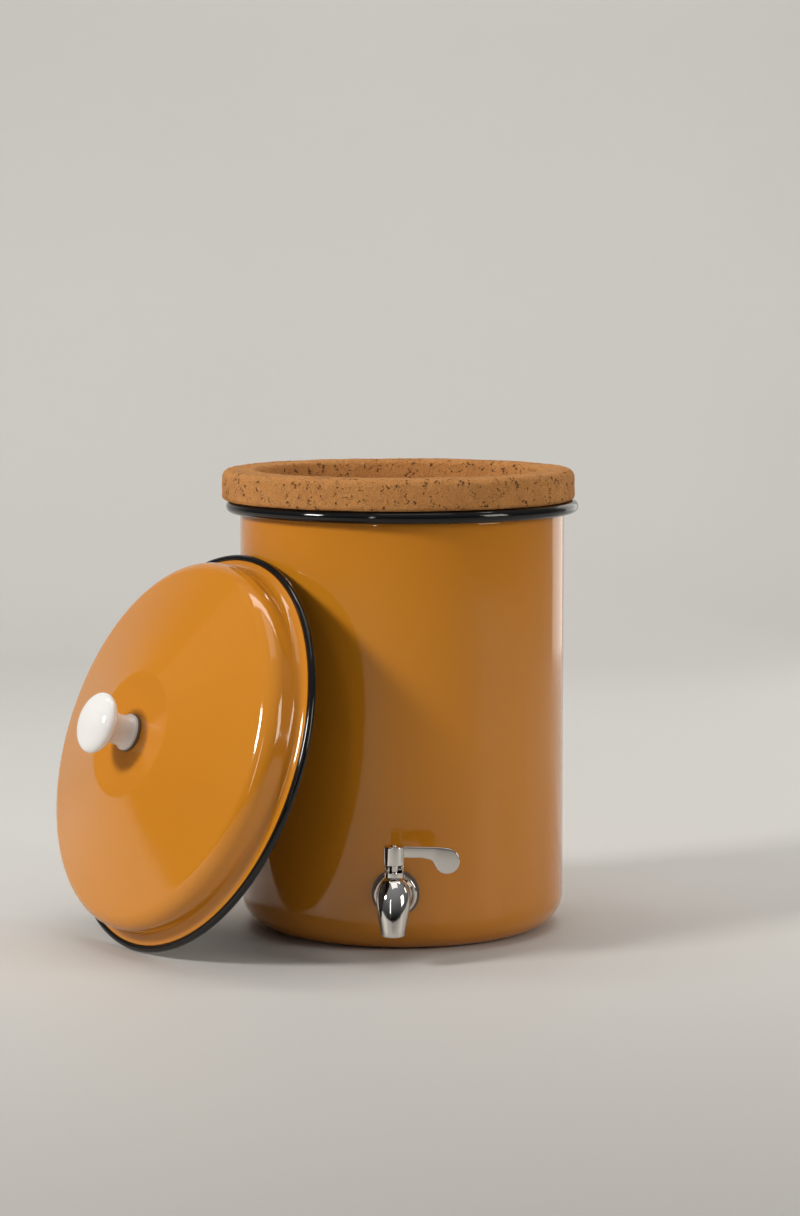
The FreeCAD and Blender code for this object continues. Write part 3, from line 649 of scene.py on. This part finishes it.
def clay_bowl():
    """The fired clay bowl: lumps over its rim, and crumbs broken out along the edge of its mouth."""
    edge_width = 6 * MM
    broad_depth, fine_depth = 0.55 * MM, 0.34 * MM
    smallest_crumb, crumb_depth, smallest_chip = 0.25, 1.4 * MM, 0.5 * MM
    mouth_wear, top_wear, top_lumpiness = 2.6, 0.6, 0.5
    rim_shrink = 0.3 * MM
    points = spin(clay_outline(), CLAY_TURNS)
    radius, height = np.hypot(points[..., 0], points[..., 1]), points[..., 2]
    broad_lumps = hills(points, scale=22 * MM, seed=11) * broad_depth
    fine_lumps = hills(points, scale=4.5 * MM, seed=12) * fine_depth
    lumps = broad_lumps + fine_lumps
    crumbs = hills(points, scale=3.2 * MM, seed=13)
    crumble = np.clip(crumbs - smallest_crumb, 0, 1) * crumb_depth
    near_top = np.exp(-(((height - CLAY_TOP) / edge_width) ** 2))
    mouth_edge = near_top * (radius < CLAY_IN + edge_width)
    on_rim = height > CLAY_FOOT + 0.5 * MM
    on_top = near_top > 0.4
    outward_shift = np.where(on_rim, lumps - rim_shrink, 0.0)
    mouth_chips = mouth_edge * crumble * mouth_wear
    top_chips = near_top * np.clip(crumble - smallest_chip, 0, 1) * top_wear
    top_lumps = np.where(on_top, lumps * top_lumpiness, 0)
    points = points + from_axis(points) * outward_shift[..., None]
    points[..., 2] += top_lumps - mouth_chips - top_chips
    points[..., 0] += CLAY_SHIFT
    bowl = grid_mesh("clay_bowl", points, MATERIALS["fired_clay"])
    finished(bowl, "filter", "fired_clay", "filter_bowl")


# Lid, whose own frame has the centre of its rolled rim at the origin and the knob up
def lid_dome():
    """The lid's sheet: flange, skirt, shoulder, cone and pad outside, and the same from below inside."""
    sheet = 1.4 * MM
    flange_radius, flange_top = 155.2 * MM, 2.4 * MM
    skirt_foot_radius, skirt_top_radius = 147.6 * MM, 148.4 * MM
    slope = math.tan(math.radians(15.4))
    shoulder = PAD_HEIGHT - (skirt_top_radius - PAD_RADIUS) * slope
    outside = rounded(
        [
            (flange_radius, flange_top),
            (skirt_foot_radius, flange_top),
            (skirt_top_radius, shoulder),
            (PAD_RADIUS, PAD_HEIGHT),
            (0, PAD_HEIGHT - PAD_DIP),
        ],
        [7.8 * MM, 14 * MM, 12 * MM],
        steps=16,
    )
    inside = rounded(
        [
            (0, PAD_HEIGHT - PAD_DIP - sheet),
            (PAD_RADIUS - 0.2 * MM, PAD_HEIGHT - sheet),
            (skirt_top_radius - sheet, shoulder - sheet),
            (skirt_foot_radius - sheet, flange_top - sheet),
            (flange_radius, flange_top - sheet),
        ],
        [12 * MM, 12.6 * MM, 9.2 * MM],
        steps=16,
    )
    outer = resample(outside, step=4 * MM)[::-1]
    inner = resample(inside, step=4 * MM)[::-1]
    points = spin(np.concatenate([outer, inner]))
    ripple_radius, ripple_height = 140 * MM, 0.12 * MM
    rippled = np.hypot(points[..., 0], points[..., 1]) < ripple_radius
    points[..., 2] += np.where(rippled, hills(points, scale=45 * MM, seed=21) * ripple_height, 0)
    material = MATERIALS["orange_enamel"]
    # From row lined_from on, the lid's inner face takes the near-black lining, which is painted shade.
    dome = grid_mesh("lid_dome", carried(points, LID), material, lining=LID_PAINTED_SHADE_LINING, lined_from=len(outer))
    finished(dome, "lid", "orange_enamel", "lid_shell")


def lid_roll():
    """The lid's rolled rim: r(a) = centre + roll cos a, h(a) = roll sin a."""
    centre, roll_radius = 157.6 * MM, 3 * MM
    a = np.linspace(0, FULL_TURN, num=28, endpoint=False)
    line = np.stack([centre + roll_radius * np.cos(a), roll_radius * np.sin(a)], axis=1)
    points = carried(spin(line, ROLL_TURNS), LID)
    roll = grid_mesh("lid_roll", points, MATERIALS["black_enamel"], closed_rows=True)
    finished(roll, "lid", "black_enamel", "lid_rim_bead")


def lid_handle():
    """The knob: a short foot, a waisted neck along a cubic Bezier curve and a flattened round head."""
    knob_foot = PAD_HEIGHT + 1.5 * MM
    head_middle, head_half, head_radius = 28.8 * MM, 9.8 * MM, 24 * MM
    neck_meets_head = -0.88
    arc = np.linspace(neck_meets_head, QUARTER_TURN, num=40)
    head = np.stack([head_radius * np.cos(arc), head_middle + head_half * np.sin(arc)], 1)
    foot_radius, foot_height = 14.4 * MM, 2.2 * MM
    neck_start = (14.1 * MM, foot_height)
    waist_low, waist_high = (10.8 * MM, 6 * MM), (11.2 * MM, 16.5 * MM)
    p0, p1, p2, p3 = np.array([neck_start, waist_low, waist_high, head[0]])
    t = np.linspace(0, 1, num=24)[:, None]
    neck = (1 - t) ** 3 * p0 + 3 * (1 - t) ** 2 * t * p1 + 3 * (1 - t) * t**2 * p2 + t**3 * p3
    foot = rounded(
        [(0, 0), (foot_radius, 0), (foot_radius, foot_height), (neck_start[0], foot_height + 0.2 * MM)],
        [0.6 * MM, 0.2 * MM],
        steps=5,
    )
    line = np.concatenate([foot[:-1], neck[:-1], head]) + [0, knob_foot]
    knob = grid_mesh("lid_handle", carried(spin(line, turns=160), LID), MATERIALS["white_porcelain"])
    finished(knob, "lid", "white_porcelain", "lid_knob")


def lid_handle_gasket():
    """The ring under the knob, pressed a little into the pad."""
    radius, height, edge, sunk = 14.9 * MM, 1.5 * MM, 0.5 * MM, 0.2 * MM
    line = rounded([(0, 0), (radius, 0), (radius, height), (0, height)], [edge, edge], steps=5)
    points = spin(line + [0, PAD_HEIGHT - sunk], turns=120)
    gasket = grid_mesh("lid_handle_gasket", carried(points, LID), MATERIALS["grey_silicone"])
    finished(gasket, "lid", "grey_silicone", "knob_gasket")


# Tap
def lofted(sections, rings=60):
    """A solid through level circles (forward, height, radius): centre and radius along the height are
    Catmull-Rom curves through the given values; the two ends close on their centres."""
    s = np.array(sections)
    t = np.linspace(0, len(s) - 1, rings)
    i = np.minimum(t.astype(int), len(s) - 2)
    f = (t - i)[:, None]
    p0, p1 = s[np.maximum(i - 1, 0)], s[i]
    p2, p3 = s[i + 1], s[np.minimum(i + 2, len(s) - 1)]
    curve = 0.5 * (
        2 * p1 + (p2 - p0) * f + (2 * p0 - 5 * p1 + 4 * p2 - p3) * f**2 + (3 * p1 - p0 - 3 * p2 + p3) * f**3
    )
    forward, height, radius = curve[:, 0:1], curve[:, 1:2], curve[:, 2:3]
    u = np.linspace(0, FULL_TURN, SMALL_TURNS, endpoint=False)
    z = np.repeat(height, SMALL_TURNS, 1)
    return capped(np.stack([radius * np.cos(u), radius * np.sin(u) - forward, z], -1))


def upright(line, turns=SMALL_TURNS):
    """A turned piece on the valve's axis."""
    return spin(np.asarray(line), turns) + [0, -VALVE_LINE, 0]


def lying(line, turns=128):
    """A turned piece on the tap's axis: its height runs out from the pot's centre, towards -Y."""
    p = spin(np.asarray(line), turns)
    return np.stack([p[..., 0], -p[..., 2], p[..., 1] + TAP_HEIGHT], -1)


def spout_front():
    """The drop-shaped front of the casting, from its top down to the mouth."""
    return lofted(
        np.array(
            [
                (166.8, 67.6, 5.4),
                (168.3, 65.2, 8.6),
                (170.4, 60.6, 11.3),
                (172.8, 54.5, 12.8),
                (175.0, 47.5, 12.8),
                (177.2, 40.2, 11.9),
                (179.4, 33.0, 10.4),
                (180.8, 28.0, 9.4),
            ]
        )
        * MM
    )


def barrel():
    """The level barrel from the flange to the valve, with a domed end."""
    back, front_corner, tip = 133.6 * MM, 166 * MM, 174 * MM
    back_radius, front_radius = 9.2 * MM, 9.6 * MM
    waist = (back_radius, 150 * MM)
    line = [(0, back), (back_radius, back), waist, (front_radius, front_corner), (0, tip)]
    return lying(rounded(line, [0.6 * MM, 20 * MM, 7 * MM]))


def valve_housing():
    """The upright housing of the valve, which narrows to its neck."""
    foot, shoulder, neck_foot, top = 37 * MM, 62.5 * MM, 65.5 * MM, 70.8 * MM
    radius, neck_radius = 10 * MM, 7.35 * MM
    line = [
        (0, foot),
        (radius, foot),
        (radius, shoulder),
        (neck_radius, neck_foot),
        (neck_radius, top),
        (0, top),
    ]
    return upright(rounded(line, [6 * MM, 3 * MM, 2 * MM, 0.2 * MM]))


def shank():
    """The shank that goes through the pot's wall."""
    radius, back, front = 8 * MM, 104.4 * MM, 134 * MM
    line = [(0, back), (radius, back), (radius, front), (0, front)]
    return lying(rounded(line, [1 * MM, 0.2 * MM], steps=5))


def notched_collar():
    """The neck's collar round the stem, open where the stop pin travels."""
    slot_end, slot_start = math.radians(348.5), math.radians(597.5)
    inner, outer, chamfer = 5.7 * MM, 7.35 * MM, 0.25 * MM
    foot, top, chamfer_height = 70.6 * MM, 76 * MM, 0.3 * MM
    section = [
        (inner, foot),
        (outer, foot),
        (outer, top - chamfer_height),
        (outer - chamfer, top),
        (inner, top),
    ]
    angles = np.linspace(slot_end, slot_start, num=72)
    rows = [[(r * math.cos(u), r * math.sin(u) - VALVE_LINE, z) for r, z in section] for u in angles]
    return capped(np.array(rows))


def tap_casting():
    """The tap's casting: front, barrel, housing, shank and collar in one."""
    steel = MATERIALS["stainless"]
    grids = [spout_front(), barrel(), valve_housing(), shank(), notched_collar()]
    casting = joined("tap_casting", [grid_mesh("casting_part", grid, steel) for grid in grids], steel)
    finished(casting, "pot", "stainless", "tap_body")


def tap_lip():
    """The bright ring at the spout's mouth."""
    mouth_forward = 180.8 * MM
    bore, foot_radius, widest, top_radius = 4.6 * MM, 9.2 * MM, 9.3 * MM, 5 * MM
    foot, shoulder, top = 24.6 * MM, 28.5 * MM, 33 * MM
    line = rounded(
        [
            (bore, foot + 1 * MM),
            (bore, foot),
            (foot_radius, foot),
            (widest, shoulder),
            (top_radius, top),
            (bore, top),
        ],
        [0.4 * MM, 1.6 * MM, 1.2 * MM, 1 * MM],
    )
    points = spin(line, SMALL_TURNS) + [0, -mouth_forward, 0]
    lip = grid_mesh("tap_lip", points, MATERIALS["stainless"], closed_rows=True)
    finished(lip, "pot", "stainless", "tap_nozzle")


def tap_plate():
    """The dished flange ring against the wall."""
    bore, dish_foot, dish_edge, radius = 8.05 * MM, 13.2 * MM, 13.8 * MM, 16.8 * MM
    back, dish, front = 133.4 * MM, 135.2 * MM, 138 * MM
    lip_round = 1.49 * MM
    line = rounded(
        [
            (bore, back),
            (radius, back),
            (radius, front),
            (dish_edge, front),
            (dish_foot, dish),
            (bore, dish),
        ],
        [0.4 * MM, lip_round, lip_round, 1.2 * MM],
    )
    flange = grid_mesh("tap_plate", lying(line), MATERIALS["stainless"], closed_rows=True)
    finished(flange, "pot", "stainless", "tap_flange")


def arm_outline():
    """The lever's flat arm in the XZ plane: a straight bar that widens to a round paddle."""
    paddle, paddle_radius = np.array([40.4, 79.8]) * MM, 9.8 * MM
    lower = rounded(
        np.array([(0, 82.2), (21.5, 82.2), (29.2, 80.6), (32.5, 74.2)]) * MM,
        [20 * MM, 6 * MM],
        steps=10,
    )
    angle = np.linspace(math.radians(216), math.radians(440), num=60)
    disc = paddle + paddle_radius * np.stack([np.cos(angle), np.sin(angle)], 1)
    upper = rounded(
        [disc[-1], (38.5 * MM, 90.1 * MM), (30 * MM, 90.6 * MM), (0, 90.8 * MM)],
        [10 * MM, 30 * MM],
    )
    line = resample(np.concatenate([lower[:-1], disc, upper[1:]]), step=1.2 * MM)
    shortest_side = 0.02 * MM
    side_lengths = np.linalg.norm(np.diff(line, axis=0, append=line[:1]), axis=1)
    return line[side_lengths > shortest_side]


def tap_handle():
    """The lever: hub and flat arm with its plain paddle."""
    steel = MATERIALS["stainless"]
    hub_radius, hub_foot, hub_top = 7.95 * MM, 76.5 * MM, 91 * MM
    arm_thickness, arm_edge = 3.6 * MM, 0.7 * MM
    hub_line = rounded(
        [(0, hub_foot), (hub_radius, hub_foot), (hub_radius, hub_top), (0, hub_top)],
        [0.6 * MM, 0.9 * MM],
    )
    arm = plate("arm_part", arm_outline(), arm_thickness, arm_edge, -VALVE_LINE, steel)
    hub = grid_mesh("hub_part", upright(hub_line, turns=128), steel)
    finished(joined("tap_handle", [arm, hub], steel), "lever", "stainless", "tap_lever")


def handle_screw():
    """The screw on top of the hub, slightly domed."""
    radius, foot, shoulder, crown = 2.7 * MM, 83 * MM, 91.7 * MM, 92.1 * MM
    line = rounded([(0, foot), (radius, foot), (radius, shoulder), (0, crown)], [0.3 * MM, 1 * MM], steps=6)
    screw = grid_mesh("handle_screw", upright(line, turns=64), MATERIALS["stainless"])
    finished(screw, "lever", "stainless", "lever_screw")


# All the pieces
pot_wall()
pot_roll()
clay_bowl()
lid_dome()
lid_roll()
lid_handle()
lid_handle_gasket()
tap_casting()
tap_lip()
tap_plate()
tap_handle()
handle_screw()


# Studio
def paper_sweep():
    """Pale paper with faint clouds, and painted shade that makes it darker towards the camera."""
    dim_paper, light_paper = (0.66, 0.655, 0.63, 1), (0.68, 0.675, 0.65, 1)
    painted_shade_paper = (0.45, 0.44, 0.415, 1)
    material, n, shader = new_material("paper sweep")
    place = n.place()
    cloud = n.spread(n.noise(place, scale=1.2, detail=2.0), low=0.3, high=0.7)
    depth = n.add("ShaderNodeSeparateXYZ", {"Vector": place}).outputs["Y"]
    towards_camera = n.spread(depth, low=0.2, high=-1.0)
    paper = n.mix(cloud, dim_paper, light_paper)
    # Painted shade: the paper darkens towards the camera, where less light falls.
    n.feed(shader.inputs["Base Color"], n.mix(towards_camera, paper, painted_shade_paper))
    n.feed(shader.inputs["Roughness"], 0.6)
    n.feed(shader.inputs["Specular IOR Level"], 0.2)
    return material


def room():
    """A strip z(y): a level floor to a bend, then straight up as a wall."""
    half_width, front, wall, height, bend = 6.0, -6.0, 2.6, 5.0, 0.9
    line = rounded([(front, 0.0), (wall, 0.0), (wall, height)], [bend], steps=24)
    points = np.array([[(x, y, z) for x in (-half_width, half_width)] for y, z in line]).reshape(-1, 3)
    faces = [(2 * i, 2 * i + 1, 2 * i + 3, 2 * i + 2) for i in range(len(line) - 1)]
    mesh = bpy.data.meshes.new("room")
    mesh.from_pydata(points.tolist(), [], faces)
    for polygon in mesh.polygons:
        polygon.use_smooth = True
    return add_object("room", mesh, paper_sweep())


def softbox(name, place, target, size, power, colour=(1.0, 0.97, 0.93)):
    """A rectangular light of that size (width, height) at a place, turned towards the target."""
    light = bpy.data.lights.new(name, "AREA")
    light.shape = "RECTANGLE"
    light.size, light.size_y = size
    light.energy = power
    light.color = colour
    thing = bpy.data.objects.new(name, light)
    thing.location = place
    thing.rotation_euler = (Vector(target) - Vector(place)).to_track_quat("-Z", "Y").to_euler()
    scene.collection.objects.link(thing)


def soft_world():
    """A cool glow that grows with height, and is dim low down behind the camera."""
    cool_white = (0.94, 0.96, 1.0, 1)
    glow_at_floor, glow_overhead, dimming = 0.075, 0.29, 0.13
    world = bpy.data.worlds.new("soft studio")
    world.use_nodes = True
    n = Nodes(world.node_tree)
    looking = n.add("ShaderNodeSeparateXYZ", {"Vector": n.add("ShaderNodeTexCoord").outputs["Generated"]})
    above = n.spread(looking.outputs["Z"], low=-0.05, high=0.9)
    behind_camera = n.spread(looking.outputs["Y"], low=-0.2, high=-1.0)
    low_down = n.spread(above, low=0.45, high=0.0)
    glow = n.spread(above, low=0.0, high=1.0, to_low=glow_at_floor, to_high=glow_overhead)
    dimmed = n.times(n.times(behind_camera, low_down), dimming)
    background = world.node_tree.nodes["Background"]
    n.feed(background.inputs["Color"], cool_white)
    n.feed(background.inputs["Strength"], n.math("SUBTRACT", glow, dimmed))
    return world


def fitted_camera():
    """The camera that was fitted to the photo. It stands a little to the right of the tap, faces the
    pot's axis but for side_shift, and is pitched down."""
    side_turn = math.radians(2.2)
    pitch = 0.1047
    height, away, side_shift = 0.5364, 2.6696, 0.0017
    data = bpy.data.cameras.new("camera")
    data.lens = 98.68
    data.sensor_width = 36
    data.clip_end = 50
    camera = bpy.data.objects.new("camera", data)
    cos, sin = math.cos(side_turn), math.sin(side_turn)
    camera.location = (away * sin - side_shift * cos, -away * cos - side_shift * sin, height)
    camera.rotation_euler = (QUARTER_TURN - pitch, 0, side_turn)
    scene.collection.objects.link(camera)
    return camera


room()
softbox("key", (-2.15, -1.3, 1.5), (-0.05, 0, 0.2), (0.5, 0.5), 51)
softbox("streak", (-0.75, -2.5, 0.9), (-0.1, 0, 0.2), (0.10, 1.1), 3.0)
softbox("front", (2.4, -1.15, 1.1), (0, 0, 0.2), (0.8, 1.2), 22, colour=(1.0, 0.93, 0.84))
softbox("top", (0.1, -0.3, 2.4), (0, 0, 0.2), (1.2, 1.2), 5)
softbox("rim", (1.0, 1.5, 0.5), (0.05, 0, 0.2), (0.9, 1.4), 3.5)
softbox("wall wash", (0, 0.6, 3.0), (0, 2.4, 0.7), (3.0, 0.8), 38)
scene.world = soft_world()
scene.camera = fitted_camera()
scene.view_settings.view_transform = "Standard"
